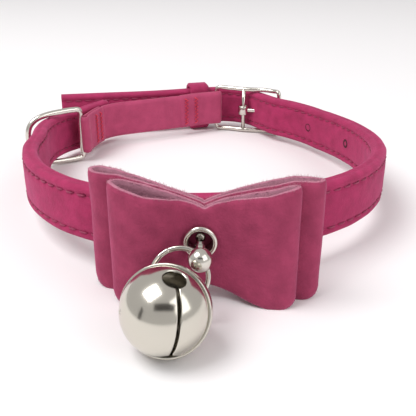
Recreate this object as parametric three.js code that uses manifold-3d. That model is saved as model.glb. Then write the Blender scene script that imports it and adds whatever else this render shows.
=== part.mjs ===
// A small pet's collar with a velvet bow and a bell: a padded velvet strap fastened to a whole loop
// by a bar buckle and a short elastic, with a ring for a tag at one side. Millimetres, +Z up, the bow
// towards -Y and the origin at the middle of the base.
import * as THREE from 'three';
import { mergeVertices } from 'three/addons/utils/BufferGeometryUtils.js';
import Module from 'manifold-3d';

const wasm = await Module();
wasm.setup();

// Driving sizes
const GAP = 0.3; // between pieces that touch on the real collar
const STRAP = { width: 9.8, thickness: 3, corner: 1.2, backLift: 6.4, frontLift: 10.2 };
const HOLE = { radius: 0.7, pitch: 17, before: 2, after: 2 };
const VELVET = 0.9; // one layer of the bow's velvet
const ELASTIC = { thickness: 0.8, width: 8.8, lift: 6.7 };
const D_RING = { wire: 1.3, height: 13.3, depth: 14, at: [-30, 17.3], heading: 212, lift: 6.9 };
const BUCKLE = {
  at: [3, 43.4], heading: -21.4, centreBar: 7.7, farBar: 17.6, bow: 1.3, rod: 0.55, height: 12.4, lift: 6.4,
};
const PRONG = { rod: 0.5, knuckle: 1.4, height: 2.4 };
const KEEPER = { width: 5.4, wall: 1, clear: 0.35, from: -5.3 };
const BOW = { endTop: 19.3, notchTop: 15, notchReach: 13, pinchBottom: 2.9, pinchReach: 9.5, corner: 3 };
const EYELET = { outer: 2.65, inner: 1.75, flange: 0.55, at: [-0.6, 10] };
const BALL = { radius: 1.75, at: [-0.55, -51.95, 10.3], neck: 0.62, shaft: 0.45 };
const SPLIT_RING = { outer: 4.4, radial: 0.75, turn: 0.48, at: [-3.45, -50.5, 6.9], tilt: 20 };
const BELL = {
  front: 6, rear: 6.3, wall: 0.4, at: [-5.1, -58.5], slit: 0.5, hole: 1.65, holeAngle: 63, shankRod: 0.42, shankEye: 0.95,
};

// The strap's middle line, from its sewn end round the front to the tip of the tail.
const STRAP_ROUTE = [
  // x, y
  [-26.4, 32.6], [-29.2, 28], [-32, 22.9], [-34.8, 17.8], [-36.2, 12.5], [-36.3, 6], [-35.4, 0],
  [-34.6, -9.3], [-32, -18.5], [-27.1, -27.1], [-19.8, -34.2], [-10.4, -38.7], [0, -40],
  [10.2, -38], [19.2, -33.3], [26.5, -26.5], [31.6, -18.2], [34.2, -9.2], [34.6, 0],
  [33.2, 8.9], [30.3, 17.5], [26.3, 25.4], [22.4, 30.4], [18.3, 34.3], [15, 39.4], [11.7, 44],
  [7.8, 46.3], [3.8, 46.9], [-0.8, 46], [-4.6, 45], [-15.2, 42.1], [-28.6, 39.8], [-38.8, 38],
];
// The elastic's middle line, from the ring's fold to the buckle's.
const ELASTIC_ROUTE = [
  // x, y
  [-28.75, 17.6], [-28, 21.5], [-26.3, 26.6], [-23.4, 29.8], [-15, 33.9], [-8, 37.2], [-1.7, 40.6], [3, 42.2],
];
// Half loops of the bow seen from above: the middle of the velvet from the pinch, out and back.
const BACK_LOOP = {
  steps: 37,
  inset: 0.02,
  left: [[0.6, -42.35], [-5.3, -42.15], [-11, -41.15], [-14, -40.05], [-16, -39.2], [-16.95, -39.9],
    [-16.4, -41.3], [-15, -42.15], [-12, -42.65], [-8, -42.9], [-4, -43.1], [0.6, -43.25]],
  right: [[-0.6, -42.35], [4.5, -42.45], [9, -42.9], [13, -43.5], [16.2, -44.1], [17, -44.8],
    [16.2, -45.5], [13.5, -45.4], [10, -44.9], [5, -43.8], [2, -43.3], [-0.6, -43.25]],
};
const FRONT_LOOP = {
  steps: 38,
  inset: 0.02,
  left: [[0.6, -44.45], [-5, -44.2], [-9, -43.9], [-12.2, -44.2], [-13.4, -45.2], [-12.9, -46.5],
    [-11.3, -47.6], [-9, -48.2], [-7, -47.9], [-5.3, -46.9], [-3.8, -45.7], [-2.2, -45.35], [0.6, -45.35]],
  right: [[-0.6, -44.45], [3, -44.58], [6, -45.4], [9.5, -46.4], [12.2, -46.5], [13.2, -47.3],
    [12.2, -48.2], [9.5, -48.3], [6.5, -47.3], [3.9, -46], [2.2, -45.46], [-0.6, -45.35]],
};
const PINCH_HALF = 1.6; // half the length over which the bow's layers lie flat together

const VELVET_COLOUR = { color: 0x9a2350, roughness: 0.9, metalness: 0 };
const ELASTIC_COLOUR = { color: 0xb94a72, roughness: 0.8, metalness: 0 };
const NICKEL = { color: 0xd6d2c8, roughness: 0.18, metalness: 1 };

// Solids
function solid(geometry) {
  let g = geometry.clone();
  g.deleteAttribute('normal');
  g.deleteAttribute('uv');
  g = mergeVertices(g, 1e-4);
  const mesh = new wasm.Mesh({
    numProp: 3,
    vertProperties: new Float32Array(g.attributes.position.array),
    triVerts: new Uint32Array(g.index.array),
  });
  return new wasm.Manifold(mesh);
}

function union(pieces) {
  return pieces.reduce((all, piece) => all.add(piece));
}

function toGeometry(manifold) {
  const mesh = manifold.getMesh();
  const g = new THREE.BufferGeometry();
  g.setAttribute('position', new THREE.BufferAttribute(new Float32Array(mesh.vertProperties), 3));
  g.setIndex(new THREE.BufferAttribute(new Uint32Array(mesh.triVerts), 1));
  g.computeVertexNormals();
  return g;
}

function node(name, manifold, look) {
  const mesh = new THREE.Mesh(toGeometry(manifold), new THREE.MeshStandardMaterial(look));
  mesh.name = name;
  return mesh;
}

// Helpers for shapes
const rad = THREE.MathUtils.degToRad;

function heading(degrees) {
  return new THREE.Vector2(Math.cos(rad(degrees)), Math.sin(rad(degrees)));
}

function planCurve(route, z = 0) {
  return new THREE.CatmullRomCurve3(route.map(([x, y]) => new THREE.Vector3(x, y, z)), false, 'centripetal');
}

// A strip of cloth standing on its edge: the route thickened to both sides and raised to its height.
function strip(route, thickness, low, high, steps) {
  const curve = planCurve(route);
  const left = [];
  const right = [];
  for (let i = 0; i <= steps; i++) {
    const p = curve.getPointAt(i / steps);
    const t = curve.getTangentAt(i / steps);
    left.push(new THREE.Vector2(p.x - (t.y * thickness) / 2, p.y + (t.x * thickness) / 2));
    right.push(new THREE.Vector2(p.x + (t.y * thickness) / 2, p.y - (t.x * thickness) / 2));
  }
  const shape = new THREE.Shape([...left, ...right.reverse()]);
  const g = new THREE.ExtrudeGeometry(shape, { depth: high - low, bevelEnabled: false, steps: 1 });
  g.translate(0, 0, low);
  return solid(g);
}

function roundedRectangle(width, height, radius, arcSteps) {
  const points = [];
  const corners = [[1, 1, 0], [-1, 1, 90], [-1, -1, 180], [1, -1, 270]];
  for (const [sx, sy, start] of corners) {
    for (let i = 0; i <= arcSteps; i++) {
      const a = rad(start + (90 * i) / arcSteps);
      points.push(new THREE.Vector2(
        sx * (width / 2 - radius) + radius * Math.cos(a),
        sy * (height / 2 - radius) + radius * Math.sin(a),
      ));
    }
  }
  return new THREE.Shape(points);
}

// A cylinder between two points.
function rod(a, b, radius, sides = 16) {
  const from = new THREE.Vector3(...a);
  const to = new THREE.Vector3(...b);
  const g = new THREE.CylinderGeometry(radius, radius, from.distanceTo(to), sides);
  const up = new THREE.Vector3(0, 1, 0);
  g.applyQuaternion(new THREE.Quaternion().setFromUnitVectors(up, to.clone().sub(from).normalize()));
  const mid = from.add(to).multiplyScalar(0.5);
  g.translate(mid.x, mid.y, mid.z);
  return solid(g);
}

function ball(centre, radius, sides = 24) {
  const g = new THREE.SphereGeometry(radius, sides, sides / 2);
  g.translate(...centre);
  return solid(g);
}

// A closed turned piece about +Z, then its axis laid along a direction.
function turned(profile, segments, axis, centre) {
  const g = new THREE.LatheGeometry(profile.map(([r, h]) => new THREE.Vector2(r, h)), segments);
  g.applyQuaternion(new THREE.Quaternion().setFromUnitVectors(new THREE.Vector3(0, 1, 0), axis.clone().normalize()));
  g.translate(...centre);
  return solid(g);
}

function circleProfile(major, minor, steps, height = 0) {
  const profile = [];
  for (let i = 0; i <= steps; i++) {
    const a = (2 * Math.PI * i) / steps;
    profile.push([major + minor * Math.cos(a), height + minor * Math.sin(a)]);
  }
  return profile;
}

// Strap
const routeFront = Math.min(...STRAP_ROUTE.map(([, y]) => y));
const riseFrom = 22; // behind this the strap stands level, and in front of it it climbs to the bow

function strapLift(y) {
  const share = THREE.MathUtils.clamp((riseFrom - y) / (riseFrom - routeFront), 0, 1);
  return THREE.MathUtils.lerp(STRAP.backLift, STRAP.frontLift, share);
}

const strapCurve = new THREE.CatmullRomCurve3(
  STRAP_ROUTE.map(([x, y]) => new THREE.Vector3(x, y, strapLift(y))), false, 'centripetal',
);

// The buckle's own directions: along from the elastic's bar, and out away from the neck.
const along = heading(BUCKLE.heading);
const out = heading(BUCKLE.heading + 90);

function atBuckle(u, v, z = BUCKLE.lift) {
  return [
    BUCKLE.at[0] + along.x * u + out.x * v,
    BUCKLE.at[1] + along.y * u + out.y * v,
    z,
  ];
}

const prongFrom = atBuckle(BUCKLE.centreBar + 0.9, 0.2);
const prongTo = atBuckle(BUCKLE.farBar + 1.2, BUCKLE.rod + PRONG.rod + GAP);

// How far along the strap's line the prong goes through it.
function prongCrossing() {
  const a = new THREE.Vector2(prongFrom[0], prongFrom[1]);
  const b = new THREE.Vector2(prongTo[0], prongTo[1]);
  const line = b.clone().sub(a).normalize();
  let best = { miss: Infinity, share: 0 };
  for (let share = 0.6; share < 0.95; share += 0.0005) {
    const p = strapCurve.getPointAt(share);
    const offset = new THREE.Vector2(p.x - a.x, p.y - a.y);
    const miss = Math.abs(offset.cross(line));
    if (miss < best.miss) best = { miss, share };
  }
  return best.share;
}

function collarStrap() {
  const length = strapCurve.getLength();
  const g = new THREE.ExtrudeGeometry(
    roundedRectangle(STRAP.width, STRAP.thickness, STRAP.corner, 3),
    { steps: 92, bevelEnabled: false, extrudePath: strapCurve },
  );
  let strap = solid(g);
  const centre = prongCrossing();
  for (let i = -HOLE.before; i <= HOLE.after; i++) {
    if (i === 0) continue;
    const share = centre + (i * HOLE.pitch) / length;
    const p = strapCurve.getPointAt(share);
    const t = strapCurve.getTangentAt(share);
    const across = new THREE.Vector3(t.y, -t.x, 0).normalize().multiplyScalar(STRAP.thickness);
    strap = strap.subtract(rod(p.clone().sub(across).toArray(), p.clone().add(across).toArray(), HOLE.radius, 12));
  }
  return strap.subtract(rod(prongFrom, prongTo, PRONG.rod + GAP, 12));
}

// Elastic: one layer between two folds, each lapped back on itself and sewn.
function elasticBand() {
  const low = ELASTIC.lift - ELASTIC.width / 2;
  const high = ELASTIC.lift + ELASTIC.width / 2;
  const ringBar = D_RING.at;
  const eyes = [[ringBar, D_RING.wire / 2], [BUCKLE.at, BUCKLE.rod]];
  const lap = ELASTIC.thickness;
  const inner = ELASTIC_ROUTE.slice(0, 4);
  const outer = ELASTIC_ROUTE.slice(-3);
  const lapped = (route) => strip(route, 2 * lap, low, high, 12);
  let band = union([strip(ELASTIC_ROUTE, lap, low, high, 44), lapped(inner.slice(0, 3)), lapped(outer)]);
  for (const [[x, y], bar] of eyes) {
    band = band.add(rod([x, y, low], [x, y, high], bar + GAP + lap, 24));
  }
  for (const [[x, y], bar] of eyes) {
    band = band.subtract(rod([x, y, low - 1], [x, y, high + 1], bar + GAP, 16));
  }
  return band;
}

// Keeper: a velvet loop round the tail beside the buckle.
function keeperLoop() {
  let best = 0.85;
  for (let share = 0.75; share < 0.95; share += 0.0005) {
    if (strapCurve.getPointAt(share).x > KEEPER.from + KEEPER.width / 2) best = share;
  }
  const p = strapCurve.getPointAt(best);
  const t = strapCurve.getTangentAt(best);
  const thick = STRAP.thickness + 2 * KEEPER.clear;
  const tall = STRAP.width + 2 * KEEPER.clear;
  const shape = roundedRectangle(thick + 2 * KEEPER.wall, tall + 2 * KEEPER.wall, 1.8, 4);
  shape.holes.push(new THREE.Path(roundedRectangle(thick, tall, 1, 4).getPoints()));
  const g = new THREE.ExtrudeGeometry(shape, { depth: KEEPER.width, bevelEnabled: false, steps: 1 });
  g.translate(0, 0, -KEEPER.width / 2);
  g.rotateX(Math.PI / 2);
  g.rotateZ(Math.atan2(t.y, t.x) - Math.PI / 2);
  g.translate(p.x, p.y, p.z);
  return solid(g);
}

// D-shaped ring: a straight bar in the elastic's fold and an arc outside the strap.
function dRing() {
  const radius = D_RING.wire / 2;
  const half = D_RING.height / 2 - radius;
  const reach = D_RING.depth - D_RING.wire;
  const outline = (grow) => {
    const points = [];
    const bend = 1.5;
    const arc = 24;
    const squareness = 0.58;
    for (let i = 0; i <= arc; i++) {
      const a = rad(90 - (180 * i) / arc);
      const c = Math.max(0, Math.cos(a)) ** squareness;
      const s = Math.sign(Math.sin(a)) * Math.abs(Math.sin(a)) ** squareness;
      points.push(new THREE.Vector2(bend + (reach - bend + grow) * c, (half + grow) * s));
    }
    points.push(new THREE.Vector2(-grow, -half + bend * 0.4 - grow * 0.6));
    points.push(new THREE.Vector2(-grow, half - bend * 0.4 + grow * 0.6));
    return points;
  };
  const soften = 0.28;
  const shape = new THREE.Shape(outline(radius - soften));
  shape.holes.push(new THREE.Path(outline(-(radius - soften)).reverse()));
  const g = new THREE.ExtrudeGeometry(shape, {
    depth: D_RING.wire - 2 * soften, steps: 1, bevelEnabled: true,
    bevelThickness: soften, bevelSize: soften, bevelSegments: 2,
  });
  g.translate(0, 0, -(D_RING.wire / 2 - soften));
  g.rotateX(Math.PI / 2);
  g.rotateZ(rad(D_RING.heading));
  g.translate(D_RING.at[0], D_RING.at[1], D_RING.lift);
  return solid(g);
}

// Buckle: two bowed rails joined by three upright bars.
function buckleFrame() {
  const half = BUCKLE.height / 2 - BUCKLE.rod;
  const pieces = [];
  const middle = (BUCKLE.centreBar + BUCKLE.farBar) / 2;
  for (const side of [-1, 1]) {
    const z = BUCKLE.lift + side * half;
    const path = new THREE.CatmullRomCurve3([
      [0, 0], [BUCKLE.centreBar / 2, BUCKLE.bow * 0.3], [BUCKLE.centreBar, BUCKLE.bow * 0.3],
      [middle, BUCKLE.bow], [BUCKLE.farBar - 1.5, BUCKLE.bow * 0.6], [BUCKLE.farBar, 0],
    ].map(([u, v]) => new THREE.Vector3(...atBuckle(u, v, z))));
    const section = new THREE.Shape().absarc(0, 0, BUCKLE.rod, 0, 2 * Math.PI, false);
    const g = new THREE.ExtrudeGeometry(section, { steps: 14, curveSegments: 6, bevelEnabled: false, extrudePath: path });
    pieces.push(solid(g));
    for (const u of [0, BUCKLE.farBar]) pieces.push(ball(atBuckle(u, 0, z), BUCKLE.rod * 1.02, 10));
  }
  for (const [u, v] of [[0, 0], [BUCKLE.centreBar, 0.2], [BUCKLE.farBar, 0]]) {
    pieces.push(rod(atBuckle(u, v, BUCKLE.lift - half), atBuckle(u, v, BUCKLE.lift + half), BUCKLE.rod, 12));
  }
  return union(pieces);
}

function buckleProng() {
  const [x, y] = atBuckle(BUCKLE.centreBar, 0.2);
  const low = BUCKLE.lift - PRONG.height / 2;
  const high = BUCKLE.lift + PRONG.height / 2;
  const prong = rod([x, y, low], [x, y, high], PRONG.knuckle, 20)
    .add(rod(prongFrom, prongTo, PRONG.rod, 12))
    .add(ball(prongTo, PRONG.rod, 12));
  return prong.subtract(rod([x, y, low - 1], [x, y, high + 1], BUCKLE.rod + GAP * 0.7, 16));
}

// Bow: each piece is two flattened loops pinched together in the middle.
function bowEdges(x, reach) {
  const away = Math.abs(x);
  const high = BOW.notchTop + (BOW.endTop - BOW.notchTop) * Math.min(1, away / BOW.notchReach) ** 0.8;
  const turn = Math.min(BOW.corner, Math.max(0, away - (reach - BOW.corner)));
  const rounded = BOW.corner - Math.sqrt(BOW.corner ** 2 - turn ** 2);
  return [rounded + BOW.pinchBottom * Math.max(0, 1 - away / BOW.pinchReach), high];
}

function bowLoop(loop) {
  const ends = [...loop.left, ...loop.right].map(([x]) => Math.abs(x));
  const reach = Math.max(...ends) + VELVET / 2 + 0.2;
  const rows = [loop.left[0][1], loop.left.at(-1)[1]];
  const pinchBack = Math.max(...rows) + VELVET / 2 - loop.inset;
  const pinchFront = Math.min(...rows) - VELVET / 2 + loop.inset;
  const pinch = new THREE.BoxGeometry(2 * PINCH_HALF, pinchBack - pinchFront, 1);
  pinch.translate(0, (pinchBack + pinchFront) / 2, 0.5);
  const cloth = union([
    strip(loop.left, VELVET, 0, 1, loop.steps),
    strip(loop.right, VELVET, 0, 1, loop.steps),
    solid(pinch),
  ]);
  const geometry = toGeometry(cloth);
  const points = geometry.attributes.position;
  for (let i = 0; i < points.count; i++) {
    const [low, high] = bowEdges(points.getX(i), reach);
    points.setZ(i, points.getZ(i) > 0.5 ? high : low);
  }
  return solid(geometry);
}

function bowFrontLoop() {
  const [x, z] = EYELET.at;
  return bowLoop(FRONT_LOOP).subtract(rod([x, -40, z], [x, -50, z], EYELET.inner + 0.35 + GAP, 17));
}

// Eyelet: a rolled flange on the velvet with a short barrel through it.
const faceY = FRONT_LOOP.left.at(-1)[1] - VELVET / 2;

function eyelet() {
  const [x, z] = EYELET.at;
  const barrel = EYELET.inner + 0.35;
  const back = -(2 * VELVET);
  const profile = [
    [EYELET.inner, back], [EYELET.inner, GAP], [EYELET.inner + 0.1, GAP + EYELET.flange * 0.8],
    [EYELET.inner + 0.35, GAP + EYELET.flange], [EYELET.outer - 0.25, GAP + EYELET.flange * 0.85],
    [EYELET.outer, GAP + EYELET.flange * 0.35], [EYELET.outer, GAP], [barrel, GAP], [barrel, back], [EYELET.inner, back],
  ];
  return turned(profile.reverse(), 32, new THREE.Vector3(0, -1, 0), [x, faceY, z]);
}

// Split ring: two turns lying against each other, leaning back from the bell to the stud.
const ringAxis = new THREE.Vector3(0, -Math.cos(rad(SPLIT_RING.tilt)), Math.sin(rad(SPLIT_RING.tilt)));
const ringUp = new THREE.Vector3(0, Math.sin(rad(SPLIT_RING.tilt)), Math.cos(rad(SPLIT_RING.tilt)));
const ringMiddle = SPLIT_RING.outer - SPLIT_RING.radial / 2;

function onRing(distance, degrees) {
  const side = new THREE.Vector3(1, 0, 0).multiplyScalar(distance * Math.cos(rad(degrees)));
  return new THREE.Vector3(...SPLIT_RING.at).add(side)
    .addScaledVector(ringUp, distance * Math.sin(rad(degrees)));
}

function splitRing() {
  const inner = SPLIT_RING.outer - SPLIT_RING.radial;
  const c = 0.14;
  const t = SPLIT_RING.turn;
  const profile = [
    [inner + c, -t], [SPLIT_RING.outer - c, -t], [SPLIT_RING.outer, -t + c], [SPLIT_RING.outer, -c],
    [SPLIT_RING.outer - c, 0], [SPLIT_RING.outer, c], [SPLIT_RING.outer, t - c],
    [SPLIT_RING.outer - c, t], [inner + c, t], [inner, t - c], [inner, c], [inner + c, 0],
    [inner, -c], [inner, -t + c], [inner + c, -t],
  ];
  return turned(profile, 30, ringAxis, SPLIT_RING.at);
}

// Stud: a ball with a ridged collar, on a shaft that the split ring hangs on.
function ballStud() {
  const centre = new THREE.Vector3(...BALL.at);
  const seat = [EYELET.at[0], faceY + 2 * VELVET - 0.3, EYELET.at[1]];
  const through = onRing(SPLIT_RING.outer - SPLIT_RING.radial - 2 * GAP - BALL.shaft, 50);
  const collar = new THREE.Vector3(0, 0.62, 0.78);
  const pieces = [ball(BALL.at, BALL.radius, 18)];
  for (const [length, radius] of [[2.1, BALL.neck], [2.5, BALL.neck * 0.7]]) {
    const end = centre.clone().addScaledVector(collar, length);
    pieces.push(rod(BALL.at, end.toArray(), radius, 13));
  }
  pieces.push(rod(BALL.at, through.toArray(), BALL.shaft, 12));
  pieces.push(ball(through.toArray(), BALL.shaft * 1.12, 10));
  pieces.push(rod(through.toArray(), seat, BALL.shaft, 12));
  pieces.push(rod([seat[0], seat[1] + 0.1, seat[2]], [seat[0], seat[1] - 0.35, seat[2]], EYELET.inner - GAP, 20));
  return union(pieces);
}

// Bell: a rear half with the shank closed over a front half with a slit between two round holes.
const bellCentre = [...BELL.at, BELL.rear];

function bell() {
  const shankAt = onRing(ringMiddle, -90);
  const centre = new THREE.Vector3(...bellCentre);
  const rearwards = shankAt.clone().sub(centre).normalize();
  const arc = (radius, from, to, steps) => {
    const points = [];
    for (let i = 0; i <= steps; i++) {
      const a = rad(from + ((to - from) * i) / steps);
      points.push([Math.max(0, radius * Math.cos(a)), radius * Math.sin(a)]);
    }
    return points;
  };
  const shell = turned([
    ...arc(BELL.front, -90, -2, 9), ...arc(BELL.rear, 2, 90, 9),
  ], 26, rearwards, bellCentre);
  const cavity = turned(arc(BELL.front - BELL.wall, -90, 90, 12), 20, rearwards, bellCentre);
  let body = shell.subtract(cavity);
  // The slit lies in an upright plane through the middle, with a round hole near each end.
  const slitSide = new THREE.Vector3(0.9325, 0.3125, -0.1807).normalize();
  const upper = new THREE.Vector3(0.2508, -0.2001, 0.9465).normalize();
  const turn = (degrees) => upper.clone().applyAxisAngle(slitSide, rad(degrees));
  const reach = BELL.rear + 1;
  const fan = [];
  const steps = 16;
  for (let i = 0; i <= steps; i++) {
    const d = turn((2 * BELL.holeAngle * i) / steps);
    fan.push(d.multiplyScalar(reach));
  }
  const forward = turn(BELL.holeAngle);
  const xAxis = forward.clone();
  const yAxis = slitSide.clone().cross(xAxis);
  const flat = fan.map((p) => new THREE.Vector2(p.dot(xAxis), p.dot(yAxis)));
  const wedge = new THREE.Shape([new THREE.Vector2(0, 0), ...flat]);
  const g = new THREE.ExtrudeGeometry(wedge, { depth: BELL.slit, bevelEnabled: false, steps: 1 });
  g.translate(0, 0, -BELL.slit / 2);
  g.applyMatrix4(new THREE.Matrix4().makeBasis(xAxis, yAxis, slitSide));
  g.translate(...bellCentre);
  body = body.subtract(solid(g));
  for (const degrees of [0, 2 * BELL.holeAngle]) {
    const d = turn(degrees);
    const a = centre.clone().addScaledVector(d, 3);
    const b = centre.clone().addScaledVector(d, reach);
    body = body.subtract(rod(a.toArray(), b.toArray(), BELL.hole, 24));
  }
  // The shank is an eye of wire whose plane stands across the split ring's wire.
  const major = BELL.shankEye + BELL.shankRod;
  const eye = turned(circleProfile(major, BELL.shankRod, 8), 18, new THREE.Vector3(1, 0, 0), shankAt.toArray());
  return body.add(eye.subtract(cavity));
}

// Assembly, moved so that the middle of its base is the origin
const collar = new THREE.Group();
collar.name = 'pet_bow_tie_collar';
collar.add(
  node('collar_strap', collarStrap(), VELVET_COLOUR),
  node('elastic_band', elasticBand(), ELASTIC_COLOUR),
  node('keeper_loop', keeperLoop(), VELVET_COLOUR),
  node('d_ring', dRing(), NICKEL),
  node('buckle_frame', buckleFrame(), NICKEL),
  node('buckle_prong', buckleProng(), NICKEL),
  node('bow_back_loop', bowLoop(BACK_LOOP), VELVET_COLOUR),
  node('bow_front_loop', bowFrontLoop(), VELVET_COLOUR),
  node('eyelet', eyelet(), NICKEL),
  node('ball_stud', ballStud(), NICKEL),
  node('split_ring', splitRing(), NICKEL),
  node('bell', bell(), NICKEL),
);
const box = new THREE.Box3().setFromObject(collar);
const middle = box.getCenter(new THREE.Vector3());
collar.position.set(-middle.x, -middle.y, -box.min.z);

export default collar;
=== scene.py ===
import math
import random

import bmesh
import bpy
from mathutils import Matrix, Vector, noise


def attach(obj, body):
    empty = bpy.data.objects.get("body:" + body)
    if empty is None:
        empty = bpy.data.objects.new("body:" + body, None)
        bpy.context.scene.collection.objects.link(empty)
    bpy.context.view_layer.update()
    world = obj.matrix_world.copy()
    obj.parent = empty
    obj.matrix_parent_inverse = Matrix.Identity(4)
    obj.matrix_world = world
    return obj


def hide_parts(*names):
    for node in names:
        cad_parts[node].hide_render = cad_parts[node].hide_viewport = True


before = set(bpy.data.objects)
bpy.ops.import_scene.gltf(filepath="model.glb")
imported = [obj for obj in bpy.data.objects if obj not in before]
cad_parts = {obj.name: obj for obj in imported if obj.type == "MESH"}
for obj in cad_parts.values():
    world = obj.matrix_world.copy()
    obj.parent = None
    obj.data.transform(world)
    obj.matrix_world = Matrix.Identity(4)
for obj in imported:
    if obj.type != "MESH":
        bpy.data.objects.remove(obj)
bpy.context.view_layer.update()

bl_info = {
    "name": "Pet Bow Tie Collar",
    "version": (1, 0, 0),
    "blender": (4, 5, 0),
    "location": "View3D > Sidebar > Collar",
    "description": "Velvet pet collar with a bow and a bell",
    "category": "Add Mesh",
}

# Shapes below are in millimetres about the middle of the loop; SHIFT moves them to the row frame.
SHIFT = Vector((2.6325, 7.7441, 0.0))
MM = 0.001

STRAP_ROUTE = [
    (-26.4, 32.6), (-29.2, 28), (-32, 22.9), (-34.8, 17.8), (-36.2, 12.5), (-36.3, 6), (-35.4, 0),
    (-34.6, -9.3), (-32, -18.5), (-27.1, -27.1), (-19.8, -34.2), (-10.4, -38.7), (0, -40),
    (10.2, -38), (19.2, -33.3), (26.5, -26.5), (31.6, -18.2), (34.2, -9.2), (34.6, 0),
    (33.2, 8.9), (30.3, 17.5), (26.3, 25.4), (22.4, 30.4), (18.3, 34.3), (15, 39.4), (11.7, 44),
    (7.8, 46.3), (3.8, 46.9), (-0.8, 46), (-4.6, 45), (-15.2, 42.1), (-28.6, 39.8), (-38.8, 38),
]
ELASTIC_ROUTE = [
    (-28.75, 17.6), (-28, 21.5), (-26.3, 26.6), (-23.4, 29.8), (-15, 33.9), (-8, 37.2),
    (-1.7, 40.6), (3, 42.2),
]
BACK_LOOP = [
    (0, -42.35), (-5.3, -42.15), (-11, -41.15), (-14, -40.05), (-16, -39.2), (-16.95, -39.9),
    (-16.4, -41.3), (-15, -42.15), (-12, -42.65), (-8, -42.9), (-4, -43.1), (0, -43.25),
    (2, -43.3), (5, -43.8), (10, -44.9), (13.5, -45.4), (16.2, -45.5), (17, -44.8),
    (16.2, -44.1), (13, -43.5), (9, -42.9), (4.5, -42.45),
]
FRONT_LOOP = [
    (0, -44.45), (-5, -44.2), (-9, -43.9), (-12.2, -44.2), (-13.4, -45.2), (-12.9, -46.5),
    (-11.3, -47.6), (-9, -48.2), (-7, -47.9), (-5.3, -46.9), (-3.8, -45.7), (-2.2, -45.35),
    (0, -45.35), (2.2, -45.46), (3.9, -46), (6.5, -47.3), (9.5, -48.3), (12.2, -48.2),
    (13.2, -47.3), (12.2, -46.5), (9.5, -46.4), (6, -45.4), (3, -44.58),
]
VELVET = 0.9
FACE_Y = -45.8
EYELET_AT = (-0.6, 10.0)
BALL_AT = Vector((-0.55, -51.95, 10.3))
RING_AT = Vector((-3.45, -50.5, 6.9))
RING_TILT = math.radians(20)
BELL_AT = Vector((-5.1, -58.5, 6.3))
STRAP_LEVEL = 6.4  # the middle of the strap above the surface, at the back
STRAP_FRONT_LEVEL = 10.2
RISE_FROM = 22  # in front of this the strap climbs to the bow
STRAP_HALF = 1.5
STITCH_LINE = 3.3  # from the strap's middle to each row of stitches
HOLE_PITCH = 17
HOLES_FROM = (10.47, 39.9)
ELASTIC_LEVEL = 6.7
ELASTIC_HEIGHT = 8.7
ELASTIC_LAYER = 0.42  # from the middle of two layers to the middle of one
BUCKLE_LEVEL = 6.4
BUCKLE_TURN = math.radians(-21.4)
BUCKLE_HALF = 12.4 / 2 - 0.55
MIDDLE_BAR = 7.7
FAR_BAR = 17.6
TAG_RING_LEVEL = 6.9
TAG_RING_TURN = math.radians(212)
TAG_RING_WIRE = 0.65
BALL_RADIUS = 1.75
SPLIT_RING_MIDDLE = 4.02
BELL_FRONT = 6.0
BELL_REAR = 6.3
SHANK_MIDDLE = 1.37


# Curves and sweeps
def spline(points, closed=False, per=24):
    """A centripetal Catmull-Rom curve through the points, as a dense line."""
    pts = [Vector(p) if len(p) == 3 else Vector((p[0], p[1], 0)) for p in points]
    n = len(pts)
    line = []
    spans = n if closed else n - 1
    for i in range(spans):
        p1, p2 = pts[i], pts[(i + 1) % n]
        p0 = pts[i - 1] if closed or i > 0 else p1 * 2 - p2
        p3 = pts[(i + 2) % n] if closed or i < n - 2 else p2 * 2 - p1
        d0 = max(1e-4, (p1 - p0).length ** 0.5)
        d1 = max(1e-4, (p2 - p1).length ** 0.5)
        d2 = max(1e-4, (p3 - p2).length ** 0.5)
        t1 = ((p1 - p0) / d0 - (p2 - p0) / (d0 + d1) + (p2 - p1) / d1) * d1
        t2 = ((p2 - p1) / d1 - (p3 - p1) / (d1 + d2) + (p3 - p2) / d2) * d1
        for k in range(per):
            t = k / per
            a = p1 + t1 * t + (p2 * 3 - p1 * 3 - t1 * 2 - t2) * t * t
            line.append(a + (p1 * 2 - p2 * 2 + t1 + t2) * t * t * t)
    if not closed:
        line.append(pts[-1])
    return line


def resample(line, spacing, closed=False):
    """Points at even distances along a line, and the line's length."""
    pts = list(line) + ([line[0]] if closed else [])
    run = [0.0]
    for a, b in zip(pts, pts[1:]):
        run.append(run[-1] + (b - a).length)
    count = max(2, round(run[-1] / spacing))
    out = []
    j = 0
    for i in range(count if closed else count + 1):
        s = run[-1] * i / count
        while j < len(run) - 2 and run[j + 1] < s:
            j += 1
        f = (s - run[j]) / max(1e-9, run[j + 1] - run[j])
        out.append(pts[j].lerp(pts[j + 1], f))
    return out, run[-1]


def tangents(pts, closed=False):
    n = len(pts)
    out = []
    for i in range(n):
        a = pts[i - 1] if closed or i > 0 else pts[0]
        b = pts[(i + 1) % n] if closed or i < n - 1 else pts[-1]
        out.append((b - a).normalized())
    return out


def sideways(t):
    """The level direction to the right of a direction of travel."""
    return Vector((t.y, -t.x, 0)).normalized()


def sweep(bm, rings, closed=False):
    """Joins rings of points with quads, and caps the ends of an open sweep."""
    loops = [[bm.verts.new(p) for p in ring] for ring in rings]
    m = len(loops[0])
    for i in range(len(loops) if closed else len(loops) - 1):
        a, b = loops[i], loops[(i + 1) % len(loops)]
        for k in range(m):
            bm.faces.new((a[k], a[(k + 1) % m], b[(k + 1) % m], b[k]))
    if not closed:
        bm.faces.new(loops[0])
        bm.faces.new(list(reversed(loops[-1])))


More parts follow.
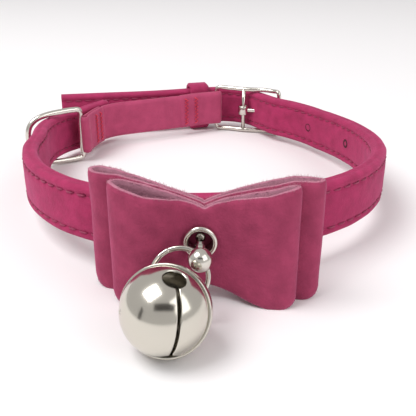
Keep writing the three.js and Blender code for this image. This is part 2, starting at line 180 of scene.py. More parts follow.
def tube(bm, pts, radius, sides=12, closed=False, tips=False, flat=1.0, flat_axis=None):
    """A round wire along a line of points. tips rounds the ends; flat squeezes it along flat_axis."""
    tan = tangents(pts, closed)
    side = tan[0].orthogonal().normalized()
    rings = []
    for i, (p, t) in enumerate(zip(pts, tan)):
        side = (side - t * side.dot(t)).normalized()
        if flat_axis is not None:
            side = (flat_axis - t * flat_axis.dot(t)).normalized()
        up = t.cross(side)
        rings.append([
            p + side * (math.cos(a) * radius * flat) + up * (math.sin(a) * radius)
            for a in [2 * math.pi * k / sides for k in range(sides)]
        ])
    if tips and not closed:
        for end in (0, -1):
            sign = -1 if end == 0 else 1
            centre = pts[end]
            ring = rings[end]
            extra = []
            for f in (0.5, 0.87):
                shrink = math.sqrt(1 - f * f)
                push = tan[end] * (sign * radius * f)
                extra.append([centre + (q - centre) * shrink + push for q in ring])
            if end == 0:
                rings = list(reversed(extra)) + rings
            else:
                rings = rings + extra
    sweep(bm, rings, closed)


def lathe(bm, profile, axis, centre, steps=64):
    """Turns a closed profile of (radius, height) about an axis through centre."""
    axis = Vector(axis).normalized()
    side = axis.orthogonal().normalized()
    verts = [bm.verts.new(Vector(centre) + side * r + axis * h) for r, h in profile]
    edges = [bm.edges.new((verts[i], verts[(i + 1) % len(verts)])) for i in range(len(verts))]
    bmesh.ops.spin(
        bm, geom=verts + edges, cent=Vector(centre), axis=axis, angle=2 * math.pi, steps=steps,
        use_merge=True, use_duplicate=False)


def ball(bm, centre, radius, segments=40):
    made = bmesh.ops.create_uvsphere(bm, u_segments=segments, v_segments=segments // 2, radius=radius)
    bmesh.ops.translate(bm, verts=made["verts"], vec=Vector(centre))


def finish_piece(name, bm, materials, doubles=1e-4):
    """Turns a bmesh into an object in the row frame, with its normals outwards."""
    bmesh.ops.remove_doubles(bm, verts=bm.verts, dist=doubles)
    bmesh.ops.recalc_face_normals(bm, faces=bm.faces)
    bm.transform(Matrix.Scale(MM, 4) @ Matrix.Translation(SHIFT))
    mesh = bpy.data.meshes.new(name)
    bm.to_mesh(mesh)
    bm.free()
    for p in mesh.polygons:
        p.use_smooth = True
    for m in materials:
        mesh.materials.append(m)
    obj = bpy.data.objects.new(name, mesh)
    bpy.context.scene.collection.objects.link(obj)
    return obj


def belongs(obj, slot, *nodes):
    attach(obj, "root")
    if nodes:
        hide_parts(*nodes)
    return obj


# Materials
def pile_group():
    """A node group: soft patches of two colours and the height of a short pile."""
    group = bpy.data.node_groups.get("cloth_pile")
    if group:
        return group
    group = bpy.data.node_groups.new("cloth_pile", "ShaderNodeTree")
    group.interface.new_socket("Dark", in_out="INPUT", socket_type="NodeSocketColor")
    group.interface.new_socket("Light", in_out="INPUT", socket_type="NodeSocketColor")
    group.interface.new_socket("Color", in_out="OUTPUT", socket_type="NodeSocketColor")
    group.interface.new_socket("Normal", in_out="OUTPUT", socket_type="NodeSocketVector")
    nodes, links = group.nodes, group.links
    inp, out = nodes.new("NodeGroupInput"), nodes.new("NodeGroupOutput")
    coord = nodes.new("ShaderNodeTexCoord")
    patches = nodes.new("ShaderNodeTexNoise")
    patches.inputs["Scale"].default_value = 420
    patches.inputs["Detail"].default_value = 4
    spread = nodes.new("ShaderNodeMapRange")
    spread.inputs["From Min"].default_value = 0.12
    spread.inputs["From Max"].default_value = 0.88
    mix = nodes.new("ShaderNodeMix")
    mix.data_type = "RGBA"
    pile = nodes.new("ShaderNodeTexNoise")
    pile.inputs["Scale"].default_value = 2600
    bump = nodes.new("ShaderNodeBump")
    bump.inputs["Strength"].default_value = 0.35
    bump.inputs["Distance"].default_value = 0.0003
    links.new(coord.outputs["Object"], patches.inputs["Vector"])
    links.new(coord.outputs["Object"], pile.inputs["Vector"])
    links.new(patches.outputs["Fac"], spread.inputs["Value"])
    links.new(spread.outputs["Result"], mix.inputs["Factor"])
    links.new(inp.outputs["Dark"], mix.inputs["A"])
    links.new(inp.outputs["Light"], mix.inputs["B"])
    links.new(pile.outputs["Fac"], bump.inputs["Height"])
    links.new(mix.outputs["Result"], out.inputs["Color"])
    links.new(bump.outputs["Normal"], out.inputs["Normal"])
    return group


def cloth(name, dark, light, sheen, tint, roughness=0.9):
    mat = bpy.data.materials.get(name)
    if mat:
        return mat
    mat = bpy.data.materials.new(name)
    mat.use_nodes = True
    bsdf = mat.node_tree.nodes["Principled BSDF"]
    pile = mat.node_tree.nodes.new("ShaderNodeGroup")
    pile.node_tree = pile_group()
    pile.inputs["Dark"].default_value = (*dark, 1)
    pile.inputs["Light"].default_value = (*light, 1)
    mat.node_tree.links.new(pile.outputs["Color"], bsdf.inputs["Base Color"])
    mat.node_tree.links.new(pile.outputs["Normal"], bsdf.inputs["Normal"])
    bsdf.inputs["Roughness"].default_value = roughness
    bsdf.inputs["Sheen Weight"].default_value = sheen
    bsdf.inputs["Sheen Roughness"].default_value = 0.35
    bsdf.inputs["Sheen Tint"].default_value = (*tint, 1)
    return mat


def plain(name, colour, roughness, metallic=0.0):
    mat = bpy.data.materials.get(name)
    if mat:
        return mat
    mat = bpy.data.materials.new(name)
    mat.use_nodes = True
    bsdf = mat.node_tree.nodes["Principled BSDF"]
    bsdf.inputs["Base Color"].default_value = (*colour, 1)
    bsdf.inputs["Roughness"].default_value = roughness
    bsdf.inputs["Metallic"].default_value = metallic
    return mat


def strap_velvet():
    return cloth("strap_pile", (0.267, 0.0129, 0.066), (0.487, 0.0294, 0.131), 0.3, (1.0, 0.3, 0.6))


def bow_velvet():
    return cloth("bow_pile", (0.235, 0.0218, 0.0673), (0.429, 0.0491, 0.129), 0.3, (1.0, 0.3, 0.6))


def raw_edge():
    return cloth("raw_edge", (0.42, 0.12, 0.2), (0.58, 0.24, 0.33), 0.3, (1.0, 0.7, 0.78))


def backing():
    return cloth("backing", (0.30, 0.115, 0.17), (0.42, 0.19, 0.25), 0.2, (1.0, 0.8, 0.85))


def nickel():
    return plain("nickel_plate", (0.66, 0.63, 0.57), 0.2, 1.0)


# Strap
def strap_points(spacing):
    line = spline(STRAP_ROUTE)
    front = min(y for x, y in STRAP_ROUTE)
    for p in line:
        share = min(1.0, max(0.0, (RISE_FROM - p.y) / (RISE_FROM - front)))
        p.z = STRAP_LEVEL + (STRAP_FRONT_LEVEL - STRAP_LEVEL) * share
    return resample(line, spacing)


def strap_frames(pts):
    out = []
    for p, t in zip(pts, tangents(pts)):
        outward = sideways(t)
        up = outward.cross(t)
        out.append((p, t, outward, up if up.z > 0 else -up))
    return out


def make_strap(props):
    bm = bmesh.new()
    pitch = props.stitch_pitch / MM
    pts, length = strap_points(0.6)
    heights = [4.72, 4.5, 4.2, 3.85, 3.55, 3.3, 3.05, 2.7, 2.1, 1.3, 0.5]
    heights += [-h for h in reversed(heights)]
    rings = []
    for i, (p, _, outward, up) in enumerate(strap_frames(pts)):
        s = length * i / (len(pts) - 1)
        ring = []
        for side in (1, -1):
            for h in (heights if side == 1 else list(reversed(heights))):
                away = abs(h)
                half = STRAP_HALF
                if away >= 3.85:
                    half = 0.55 + 0.95 * math.sqrt(max(0, 1 - ((away - 3.85) / 0.95) ** 2))
                pull = math.exp(-((away - STITCH_LINE) / 0.4) ** 2)
                half -= pull * (0.3 - 0.1 * math.cos(2 * math.pi * s / pitch))
                half += 0.09 * noise.noise(Vector((s * 0.22, h * 0.35, side * 7)))
                ring.append(p + outward * (half * side) + up * h)
            ring.append(p + outward * (0.42 * side) - up * (4.88 * side))
            ring.append(p - up * (4.6 * side))
            ring.append(p - outward * (0.42 * side) - up * (4.88 * side))
        rings.append(ring)
    sweep(bm, rings)
    obj = finish_piece("strap", bm, [strap_velvet()])
    return belongs(obj, "strap_velvet", "collar_strap")


def make_strap_stitches(props):
    bm = bmesh.new()
    pts, length = strap_points(0.5)
    frames = strap_frames(pts)
    per = length / (len(pts) - 1)
    pitch = props.stitch_pitch / MM
    dash = props.stitch_length / MM
    radius = props.thread / MM / 2
    for height in (-STITCH_LINE, STITCH_LINE):
        for side in (1, -1):
            s = 1.6 + (0.4 if height > 0 else 0)
            while s < length - 2.5:
                run = []
                for k in range(5):
                    at = s + dash * k / 4
                    nearest = round(at / per)
                    p, t, outward, up = frames[min(len(frames) - 1, nearest)]
                    lift = 1.38 if 0 < k < 4 else 1.14
                    run.append(p + t * (at - per * nearest) + outward * (lift * side) + up * height)
                tube(bm, run, radius, 6)
                s += pitch
    thread = plain("thread", (0.30, 0.03, 0.09), 0.6)
    return belongs(finish_piece("strap_stitches", bm, [thread]), "strap_velvet")


def make_holes():
    bm = bmesh.new()
    pts, length = strap_points(0.5)
    frames = strap_frames(pts)
    per = length / (len(pts) - 1)
    cross = min(range(int(len(pts) * 0.6), int(len(pts) * 0.95)), key=lambda i: abs(
        (pts[i].x - HOLES_FROM[0]) * 0.365 + (pts[i].y - HOLES_FROM[1]) * 0.931))
    rim = [(0.02, 1.42), (0.74, 1.53), (0.9, 1.6), (1.0, 1.52), (0.9, 1.36), (0.02, 1.36)]
    for n in (-2, -1, 1, 2):
        p, _, outward, _ = frames[cross + round(HOLE_PITCH * n / per)]
        for side in (1, -1):
            lathe(bm, rim, outward * side, p, 24)
    # Dark discs on both faces of the strap stand in for the punched holes: painted shade, since the strap
    # itself is not cut through.
    dark = plain("hole_shadow", (0.07, 0.006, 0.02), 0.9)
    return belongs(finish_piece("strap_holes", bm, [dark]), "strap_velvet")


# Elastic
def fold(at, t, swell, reach):
    """Half a turn of the elastic round a bar, from one layer to the other."""
    turn = []
    for k in range(1, 8):
        a = math.pi * k / 8
        across = (ELASTIC_LAYER + swell * math.sin(a)) * math.cos(a)
        turn.append(at + sideways(t) * across + t * (reach * math.sin(a)))
    return turn


def elastic_path():
    """The elastic's line from one lapped end, round both bars, to the other lapped end."""
    route, _ = resample(spline(ELASTIC_ROUTE), 0.6)
    tan = tangents(route)
    total = len(route) - 1
    line = [route[i] - sideways(tan[i]) * ELASTIC_LAYER for i in range(15, 2, -1)]
    line += fold(route[1], -tan[0], 0.8, 1.75)
    for i in range(2, total - 2):
        lapped = i < 16 or i > total - 19
        line.append(route[i] + sideways(tan[i]) * (ELASTIC_LAYER if lapped else 0))
    line += fold(route[total - 2], tan[-1], 0.5, 2.2)
    line += [route[i] - sideways(tan[i]) * ELASTIC_LAYER for i in range(total - 3, total - 19, -1)]
    return resample(line, 0.35)[0]


def make_elastic():
    bm = bmesh.new()
    pts = elastic_path()
    rings = []
    for i, (p, t) in enumerate(zip(pts, tangents(pts))):
        side = sideways(t)
        rib = 0.035 * (1 if i % 2 else -1)
        ring = []
        for sign, order in ((1, range(9)), (-1, range(8, -1, -1))):
            for k in order:
                h = ELASTIC_LEVEL + ELASTIC_HEIGHT * (k / 8 - 0.5)
                w = 0.36 + rib if 0 < k < 8 else 0.2
                ring.append(Vector((p.x, p.y, h)) + side * w * sign)
        rings.append(ring)
    sweep(bm, rings)
    knit = cloth("elastic_knit", (0.366, 0.0405, 0.113), (0.529, 0.0663, 0.169), 0.25, (1, 0.6, 0.7), 0.8)
    return belongs(finish_piece("elastic", bm, [knit]), "elastic", "elastic_band")


def make_tacks():
    """Zigzags of red thread through both layers at each end of the elastic."""
    bm = bmesh.new()
    route, _ = resample(spline(ELASTIC_ROUTE), 0.5)
    tan = tangents(route)
    for i in (10, 15, len(route) - 14, len(route) - 20):
        side = sideways(tan[i])
        for sign in (1, -1):
            run = []
            for k in range(15):
                off = 0.45 * (1 if k % 2 else -1)
                p = route[i] + tan[i] * off + side * (sign * 0.95)
                run.append(Vector((p.x, p.y, ELASTIC_LEVEL - 3.5 + k / 2)))
            tube(bm, run, 0.15, 6)
    red = plain("tack_thread", (0.80, 0.05, 0.10), 0.5)
    return belongs(finish_piece("elastic_tacks", bm, [red]), "elastic")


# Keeper
def make_keeper():
    bm = bmesh.new()
    pts, _ = strap_points(0.25)
    best = max(i for i in range(len(pts)) if pts[i].x > -2.6 and i > len(pts) * 0.75)
    p, t, outward, up = strap_frames(pts)[best]

    def outline(thick, tall, corner):
        out = []
        for sx, sy, start in ((1, 1, 0), (-1, 1, 90), (-1, -1, 180), (1, -1, 270)):
            for k in range(7):
                a = math.radians(start + 15 * k)
                out.append((sx * (thick / 2 - corner) + corner * math.cos(a),
                            sy * (tall / 2 - corner) + corner * math.sin(a)))
        return out
    outer, inner = outline(5.65, 12.4, 1.9), outline(3.75, 10.5, 1.0)
    mid = [((a[0] + b[0]) / 2, (a[1] + b[1]) / 2) for a, b in zip(outer, inner)]
    rings = []
    for o, n, m in zip(outer, inner, mid):
        section = ((o, -2.3), (o, -1), (o, 1), (o, 2.3), (m, 2.7), (n, 2.3), (n, -2.3), (m, -2.7))
        rings.append([p + outward * u + up * v + t * w for (u, v), w in section])
    sweep(bm, rings, closed=True)
    return belongs(finish_piece("keeper", bm, [strap_velvet()]), "strap_velvet", "keeper_loop")


# Buckle and tag ring
ALONG = Vector((math.cos(BUCKLE_TURN), math.sin(BUCKLE_TURN), 0))
OUT = Vector((-math.sin(BUCKLE_TURN), math.cos(BUCKLE_TURN), 0))


def at_buckle(u, v, z=BUCKLE_LEVEL):
    """A point at u along the buckle from the elastic's bar and v out from the neck."""
    return Vector((3, 43.4, z)) + ALONG * u + OUT * v


def make_d_ring():
    bm = bmesh.new()
    reach, half, bend = 12.7, 13.3 / 2 - TAG_RING_WIRE, 1.5
    bar = Vector((-30, 17.3, TAG_RING_LEVEL))
    d = Vector((math.cos(TAG_RING_TURN), math.sin(TAG_RING_TURN), 0))
    line = []
    for i in range(25):
        a = math.radians(90 - 7.5 * i)
        c = max(0.0, math.cos(a)) ** 0.58
        s = math.copysign(abs(math.sin(a)) ** 0.58, math.sin(a))
        line.append(bar + d * (bend + (reach - bend) * c) + Vector((0, 0, half * s)))
    for z in (-half + 0.3, -half * 0.5, half * 0.5, half - 0.3):
        line.append(bar + Vector((0, 0, z)))
    pts, _ = resample(spline(line, closed=True, per=6), 0.5, closed=True)
    tube(bm, pts, TAG_RING_WIRE, 16, closed=True)
    return belongs(finish_piece("tag_ring", bm, [nickel()]), "nickel", "d_ring")


def make_buckle():
    bm = bmesh.new()
    low, high = BUCKLE_LEVEL - BUCKLE_HALF, BUCKLE_LEVEL + BUCKLE_HALF
    rail = [(0.5, 0.0), (3.85, 0.39), (7.7, 0.39), (12.65, 1.3), (16.1, 0.78), (17.3, 0.1)]
    line = [at_buckle(u, v, high) for u, v in rail]
    line += [at_buckle(FAR_BAR, 0, z) for z in (high - 0.5, BUCKLE_LEVEL, low + 0.5)]
    line += [at_buckle(u, v, low) for u, v in reversed(rail)]
    line += [at_buckle(0, 0, z) for z in (low + 0.5, BUCKLE_LEVEL, high - 0.5)]
    pts, _ = resample(spline(line, closed=True, per=14), 0.35, closed=True)
    tube(bm, pts, 0.56, 14, closed=True)
    tube(bm, [at_buckle(MIDDLE_BAR, 0.2, z) for z in (low, high)], 0.5, 14)
    return belongs(finish_piece("buckle", bm, [nickel()]), "nickel", "buckle_frame")


def make_prong():
    bm = bmesh.new()
    a, b = at_buckle(8.6, 0.2), at_buckle(18.8, 1.35)
    tube(bm, [a.lerp(b, k / 8) for k in range(9)], 0.5, 14, tips=True)
    lathe(bm, [(0.78, -1.1), (1.25, -1.2), (1.4, -1.0), (1.4, 1.0), (1.25, 1.2), (0.78, 1.1)],
          (0, 0, 1), at_buckle(MIDDLE_BAR, 0.2), 40)
    return belongs(finish_piece("prong", bm, [nickel()]), "nickel", "buckle_prong")


# Bow
def bow_edges(x, reach):
    """The heights of the bow's lower and upper edges at x."""
    away = abs(x)
    high = 15 + 4.3 * min(1, away / 13) ** 0.8
    turn = min(3.0, max(0.0, away - (reach - 3)))
    return 3 - math.sqrt(9 - turn ** 2) + 2.9 * max(0, 1 - away / 9.5), high


def open_loops(bm):
    """The edges round each hole in the surface, one list for each hole."""
    left = {e for e in bm.edges if len(e.link_faces) == 1}
    loops = []
    while left:
        loop = [left.pop()]
        grew = True
        while grew:
            grew = False
            for v in {v for e in loop for v in e.verts}:
                for e in v.link_edges:
                    if e in left:
                        left.discard(e)
                        loop.append(e)
                        grew = True
        loops.append(loop)
    return loops


def make_bow_piece(name, node, route, hole, seed):
    bm = bmesh.new()
    pts, length = resample(spline(route, closed=True), 0.45, closed=True)
    reach = max(abs(p.x) for p in pts) + VELVET / 2 + 0.2
    rows = 22
    far = max(range(len(pts)), key=lambda i: pts[i].x)
    inside_first = tangents(pts, closed=True)[far].y < 0
    rings = []
    for i, (p, t) in enumerate(zip(pts, tangents(pts, closed=True))):
        side = sideways(t)
        low, high = bow_edges(p.x, reach)
        high += 0.12 * noise.noise(Vector((i * 0.21, seed, 0)))
        ring = []
        for sign, order in ((1, range(rows + 1)), (-1, range(rows, -1, -1))):
            for k in order:
                z = low + (high - low) * k / rows
                calm = min(1, abs(p.x) / 6)
                w = 0.16 * calm * noise.noise(Vector((p.x * 0.35, z * 0.12, seed + p.y * 0.2)))
                rim = 0.3 if k in (0, rows) else 0.45
                ring.append(Vector((p.x, p.y, z)) + side * (rim * sign + w))
        rings.append(ring)
    sweep(bm, rings, closed=True)
    around = 2 * (rows + 1)
    for i, f in enumerate(list(bm.faces)):
        k = i % around
        if k in (rows, around - 1):
            f.material_index = 1
        elif (k < rows) == inside_first:
            f.material_index = 2
    if hole:
        gone = [f for f in bm.faces if math.hypot(
            f.calc_center_median().x - EYELET_AT[0], f.calc_center_median().z - EYELET_AT[1]) < 2.0]
        bmesh.ops.delete(bm, geom=gone, context="FACES")
        loops = open_loops(bm)
        loops.sort(key=lambda loop: sum(e.verts[0].co.y for e in loop) / len(loop))
        for first, second in zip(loops[::2], loops[1::2]):
            bmesh.ops.bridge_loops(bm, edges=first + second)
    obj = finish_piece(name, bm, [bow_velvet(), raw_edge(), backing()])
    return belongs(obj, "bow_velvet", node)


def make_bow_fuzz():
    """Short fibres that stand out of the bow's raw edges."""
    bm = bmesh.new()
    rng = random.Random(4)
    for route in (BACK_LOOP, FRONT_LOOP):
        pts, _ = resample(spline(route, closed=True), 0.06, closed=True)
        reach = max(abs(p.x) for p in pts) + VELVET / 2 + 0.2
        tan = tangents(pts, closed=True)
        for p, t in zip(pts, tan):
            low, high = bow_edges(p.x, reach)
            side = sideways(t)
            for z, up in ((high - 0.1, 1), (low + 0.1, -1)):
                if up < 0 and low < 0.6:
                    continue
                base = Vector((p.x, p.y, z)) + side * rng.uniform(-0.42, 0.42)
                tip = base + Vector((
                    rng.uniform(-0.3, 0.3), rng.uniform(-0.25, 0.25), up * rng.uniform(0.15, 0.55)))
                w = t * 0.035
                u = side * 0.035
                a, b, c, d = (bm.verts.new(q) for q in (base + w, base - w, base + u, tip))
                for tri in ((a, b, c), (a, b, d), (b, c, d), (c, a, d)):
                    bm.faces.new(tri)
    return belongs(finish_piece("bow_fuzz", bm, [raw_edge()], 1e-6), "bow_velvet")


# Fittings
def on_ring(distance, degrees):
    a = math.radians(degrees)
    up = Vector((0, math.sin(RING_TILT), math.cos(RING_TILT)))
    return RING_AT + Vector((1, 0, 0)) * (distance * math.cos(a)) + up * (distance * math.sin(a))


def make_eyelet():
    bm = bmesh.new()
    profile = [(1.75, -1.8)]
    profile += [(2.2 - 0.45 * math.cos(math.radians(a)), 0.3 + 0.55 * math.sin(math.radians(a)))
                for a in range(0, 181, 15)]
    profile += [(2.62, 0.2), (2.1, 0.2), (2.1, -1.8)]
    lathe(bm, profile, (0, -1, 0), (EYELET_AT[0], FACE_Y, EYELET_AT[1]), 72)
    return belongs(finish_piece("eyelet_ring", bm, [nickel()]), "nickel", "eyelet")


def make_stud():
    bm = bmesh.new()
    ball(bm, BALL_AT, BALL_RADIUS, 48)
    seat = Vector((EYELET_AT[0], FACE_Y + 1.5, EYELET_AT[1]))
    through = on_ring(4.4 - 0.75 - 0.6 - 0.45, 50)
    axis = Vector((0, 0.62, 0.78)).normalized()
    for length, radius in ((2.1, 0.62), (2.5, 0.43)):
        tube(bm, [BALL_AT, BALL_AT + axis * length], radius, 20)
    tube(bm, [BALL_AT, through, seat], 0.45, 16)
    ball(bm, through, 0.47, 16)
    lathe(bm, [(0.01, -0.1), (0.75, -0.1), (0.75, 0.3), (0.01, 0.35)], (0, -1, 0), seat, 40)
    return belongs(finish_piece("ball_and_stud", bm, [nickel()]), "nickel", "ball_stud")


def make_split_ring():
    bm = bmesh.new()
    axis = Vector((0, -math.cos(RING_TILT), math.sin(RING_TILT)))
    pts = []
    for i in range(181):
        turn = 4 * math.pi * i / 180
        shift = -0.24 + 0.48 * min(1.0, max(0.0, (turn - 2 * math.pi + 0.35) / 0.7))
        pts.append(on_ring(SPLIT_RING_MIDDLE, 115 + math.degrees(turn)) + axis * shift)
    tube(bm, pts, 0.37, 12, flat=0.62, flat_axis=axis)
    return belongs(finish_piece("ring_two_turns", bm, [nickel()]), "nickel", "split_ring")


def make_bell():
    """The front half is a grid about the slit's own axis with the cut faces left out, and the rear
    half is turned about the line to the shank."""
    bm = bmesh.new()
    slit = Vector((0.9325, 0.3125, -0.1807)).normalized()
    upper = Vector((0.2508, -0.2001, 0.9465)).normalized()
    cross = slit.cross(upper)
    shank_at = on_ring(4.4 - 0.375, -90)
    rear = (shank_at - BELL_AT).normalized()
    spread = math.radians(126)

    def direction(lat, lon):
        return slit * math.sin(lat) + (upper * math.cos(lon) + cross * math.sin(lon)) * math.cos(lat)

    def inside(lat, lon):
        """Distance in mm to the nearest edge of the front half: negative where it is cut away."""
        x, y = BELL_FRONT * lon * math.cos(lat), BELL_FRONT * lat
        far = BELL_FRONT * spread
        holes = min(math.hypot(x, y), math.hypot(x - far, y)) - 1.65
        bar = max(abs(y) - 0.25, -x, x - far)
        behind = max(-1.0, min(1.0, -direction(lat, lon).dot(rear)))
        return min(holes, bar, BELL_FRONT * (math.asin(behind) + 0.02))

    lats = [math.radians(-88 + 3 * k) for k in range(25)]
    lats += [math.radians(-12.5 + 1.25 * k) for k in range(21)]
    lats += [math.radians(16 + 3 * k) for k in range(25)]
    lons = [math.radians(-180 + 1.5 * k) for k in range(240)]
    n = len(lons)
    keep = []
    for i in range(len(lats) - 1):
        for j in range(n):
            if inside((lats[i] + lats[i + 1]) / 2, lons[j] + math.radians(0.75)) > 0:
                keep.append((i, j))
    used = {}
    for i, j in keep:
        k = (j + 1) % n
        for c in ((i, j), (i + 1, j), (i + 1, k), (i, k)):
            used[c] = used.get(c, 0) + 1
    grid = {}
    e = 0.002
    for c, count in used.items():
        lat, lon = lats[c[0]], lons[c[1]]
        if count < 4 and 0 < c[0] < len(lats) - 1:
            for _ in range(6):
                v = inside(lat, lon)
                gx = (inside(lat + e, lon) - inside(lat - e, lon)) / (2 * e)
                gy = (inside(lat, lon + e) - inside(lat, lon - e)) / (2 * e)
                slope = math.hypot(gx, gy)
                if slope < 1e-3:
                    break
                step = max(-0.03, min(0.03, v / slope))
                lat -= gx / slope * step
                lon -= gy / slope * step
        grid[c] = direction(lat, lon)
    outer = {c: bm.verts.new(BELL_AT + d * BELL_FRONT) for c, d in grid.items()}
    inner = {c: bm.verts.new(BELL_AT + d * 5.62) for c, d in grid.items()}
    kept = set(keep)
    for i, j in keep:
        k = (j + 1) % n
        quad = ((i, j), (i + 1, j), (i + 1, k), (i, k))
        bm.faces.new([outer[c] for c in quad])
        bm.faces.new([inner[c] for c in reversed(quad)])
        beside = (((i, (j - 1) % n), quad[0], quad[1]), ((i + 1, j), quad[1], quad[2]),
                  ((i, k), quad[2], quad[3]), ((i - 1, j), quad[3], quad[0]))
        for other, a, b in beside:
            if other not in kept:
                bm.faces.new((outer[a], inner[a], inner[b], outer[b]))
    arc = [math.radians(a) for a in range(0, 91, 4)] + [math.radians(90)]
    profile = [(max(0.004, BELL_REAR * math.cos(a)), BELL_REAR * math.sin(a)) for a in arc]
    profile += [(max(0.004, 5.75 * math.cos(a)), 5.75 * math.sin(a)) for a in reversed(arc)]
    profile += [(5.8, -0.3), (6.15, -0.42), (6.28, -0.3)]
    lathe(bm, profile, rear, BELL_AT, 96)
    eye = []
    for k in range(40):
        a = 2 * math.pi * k / 40
        eye.append(shank_at + Vector((0, math.cos(a), math.sin(a))) * SHANK_MIDDLE)
    tube(bm, eye, 0.42, 14, closed=True)
    silver = plain("bell_silver", (0.62, 0.59, 0.52), 0.17, 1.0)
    return belongs(finish_piece("bell_round", bm, [silver]), "bell_metal", "bell")


# Stage
def make_stage(props):
    bm = bmesh.new()
    bmesh.ops.create_grid(bm, x_segments=1, y_segments=1, size=2.0)
    mesh = bpy.data.meshes.new("floor")
    bm.to_mesh(mesh)
    bm.free()
    mesh.materials.append(plain("floor_white", (0.93, 0.915, 0.92), 0.7))
    floor = bpy.data.objects.new("floor", mesh)
    bpy.context.scene.collection.objects.link(floor)
    for name, at, size, turn in (
            ("card_left", (-0.5, -0.35, 0.12), (0.18, 0.30), (90, 0, 60)),
            ("card_front", (0.03, -0.44, 0.36), (0.50, 0.17), (52, 0, 0))):
        bm = bmesh.new()
        bmesh.ops.create_grid(bm, x_segments=1, y_segments=1, size=0.5)
        bmesh.ops.scale(bm, verts=bm.verts, vec=Vector((size[0], size[1], 1)))
        tilt = Matrix.Rotation(math.radians(turn[0]), 4, "X")
        turned = Matrix.Rotation(math.radians(turn[2]), 4, "Z") @ tilt
        bm.transform(Matrix.Translation(Vector(at)) @ turned)
        mesh = bpy.data.meshes.new(name)
        bm.to_mesh(mesh)
        bm.free()
        mesh.materials.append(plain("card_dark", (0.05, 0.045, 0.045), 0.9))
        card = bpy.data.objects.new(name, mesh)
        card.visible_camera = False
        bpy.context.scene.collection.objects.link(card)
    for name, at, size, power in (
            ("key", (-0.28, -0.12, 0.55), 0.35, props.key_power),
            ("fill", (0.45, -0.35, 0.40), 0.50, props.fill_power)):
        light = bpy.data.lights.new(name, "AREA")
        light.size = size
        light.energy = power
        lamp = bpy.data.objects.new(name, light)
        lamp.location = at
        lamp.rotation_euler = (Vector((0, 0, 0)) - Vector(at)).to_track_quat("-Z", "Y").to_euler()
        bpy.context.scene.collection.objects.link(lamp)
    world = bpy.data.worlds.new("soft_white")
    world.use_nodes = True
    world.node_tree.nodes["Background"].inputs["Color"].default_value = (1.0, 0.985, 0.985, 1)
    world.node_tree.nodes["Background"].inputs["Strength"].default_value = props.world_power
    bpy.context.scene.world = world
    bpy.context.scene.view_settings.view_transform = "Standard"
    data = bpy.data.cameras.new("camera")
    data.sensor_fit = "HORIZONTAL"
    data.angle = math.radians(36.74)
    data.clip_start = 0.005
    camera = bpy.data.objects.new("camera", data)
    camera.location = (0.00315, -0.11987, 0.05178)
    camera.rotation_euler = (math.radians(66), 0, 0)
    bpy.context.scene.collection.objects.link(camera)
    bpy.context.scene.camera = camera


class CollarSettings(bpy.types.PropertyGroup):
    stitch_pitch: bpy.props.FloatProperty(
        name="Stitch pitch", description="Distance from one stitch to the next",
        default=0.0025, unit="LENGTH")
    stitch_length: bpy.props.FloatProperty(
        name="Stitch length", description="Length of thread that shows in one stitch",
        default=0.00165, unit="LENGTH")
    thread: bpy.props.FloatProperty(
        name="Thread", description="Thickness of the thread", default=0.00032, unit="LENGTH")


class CollarStageSettings(bpy.types.PropertyGroup):
    key_power: bpy.props.FloatProperty(
        name="Key light", description="Power of the main soft light, in watts", default=2.6, unit="POWER")
    fill_power: bpy.props.FloatProperty(
        name="Fill light", description="Power of the second soft light, in watts", default=1.2, unit="POWER")
    world_power: bpy.props.FloatProperty(
        name="Surroundings", description="Brightness of the white surroundings", default=0.62)


class COLLAR_OT_strap(bpy.types.Operator):
    """Make the padded velvet strap with its stitches, holes and keeper"""
    bl_idname = "collar.strap"
    bl_label = "Make strap"

    def execute(self, context):
        make_strap(context.scene.collar)
        make_strap_stitches(context.scene.collar)
        make_holes()
        make_keeper()
        return {"FINISHED"}


class COLLAR_OT_elastic(bpy.types.Operator):
    """Make the short elastic and its tacks"""
    bl_idname = "collar.elastic"
    bl_label = "Make elastic"

    def execute(self, context):
        make_elastic()
        make_tacks()
        return {"FINISHED"}


class COLLAR_OT_buckle(bpy.types.Operator):
    """Make the buckle, its prong and the tag ring"""
    bl_idname = "collar.buckle"
    bl_label = "Make buckle and tag ring"

    def execute(self, context):
        make_d_ring()
        make_buckle()
        make_prong()
        return {"FINISHED"}


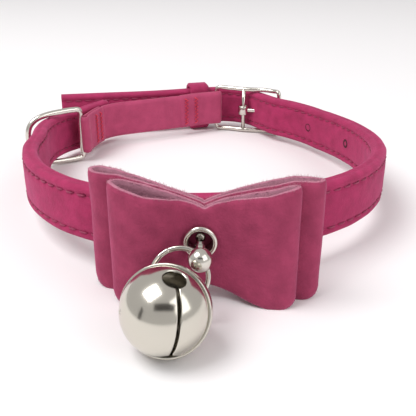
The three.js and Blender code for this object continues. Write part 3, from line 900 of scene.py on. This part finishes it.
class COLLAR_OT_bow(bpy.types.Operator):
    """Make the bow's two velvet pieces and their raw edges"""
    bl_idname = "collar.bow"
    bl_label = "Make bow"

    def execute(self, context):
        make_bow_piece("bow_back", "bow_back_loop", BACK_LOOP, False, 3.1)
        make_bow_piece("bow_front", "bow_front_loop", FRONT_LOOP, True, 8.7)
        make_bow_fuzz()
        return {"FINISHED"}


class COLLAR_OT_fittings(bpy.types.Operator):
    """Make the eyelet, the stud, the split ring and the bell"""
    bl_idname = "collar.fittings"
    bl_label = "Make fittings"

    def execute(self, context):
        make_eyelet()
        make_stud()
        make_split_ring()
        make_bell()
        return {"FINISHED"}


class COLLAR_OT_stage(bpy.types.Operator):
    """Make the pale floor, the soft lights and the camera"""
    bl_idname = "collar.stage"
    bl_label = "Make stage"

    def execute(self, context):
        make_stage(context.scene.collar_stage)
        return {"FINISHED"}


class COLLAR_PT_panel(bpy.types.Panel):
    bl_idname = "COLLAR_PT_panel"
    bl_label = "Pet bow tie collar"
    bl_space_type = "VIEW_3D"
    bl_region_type = "UI"
    bl_category = "Collar"

    def draw(self, context):
        for name in ("stitch_pitch", "stitch_length", "thread"):
            self.layout.prop(context.scene.collar, name)
        for name in ("key_power", "fill_power", "world_power"):
            self.layout.prop(context.scene.collar_stage, name)
        for step in STEPS:
            self.layout.operator(step.bl_idname)


STEPS = (
    COLLAR_OT_strap, COLLAR_OT_elastic, COLLAR_OT_buckle, COLLAR_OT_bow, COLLAR_OT_fittings, COLLAR_OT_stage)
CLASSES = (CollarSettings, CollarStageSettings, *STEPS, COLLAR_PT_panel)


def register():
    for cls in CLASSES:
        bpy.utils.register_class(cls)
    bpy.types.Scene.collar = bpy.props.PointerProperty(type=CollarSettings)
    bpy.types.Scene.collar_stage = bpy.props.PointerProperty(type=CollarStageSettings)


def unregister():
    del bpy.types.Scene.collar_stage
    del bpy.types.Scene.collar
    for cls in reversed(CLASSES):
        bpy.utils.unregister_class(cls)


def main():
    register()
    bpy.ops.collar.strap()
    bpy.ops.collar.elastic()
    bpy.ops.collar.buckle()
    bpy.ops.collar.bow()
    bpy.ops.collar.fittings()
    bpy.ops.collar.stage()


if __name__ == "__main__":
    main()
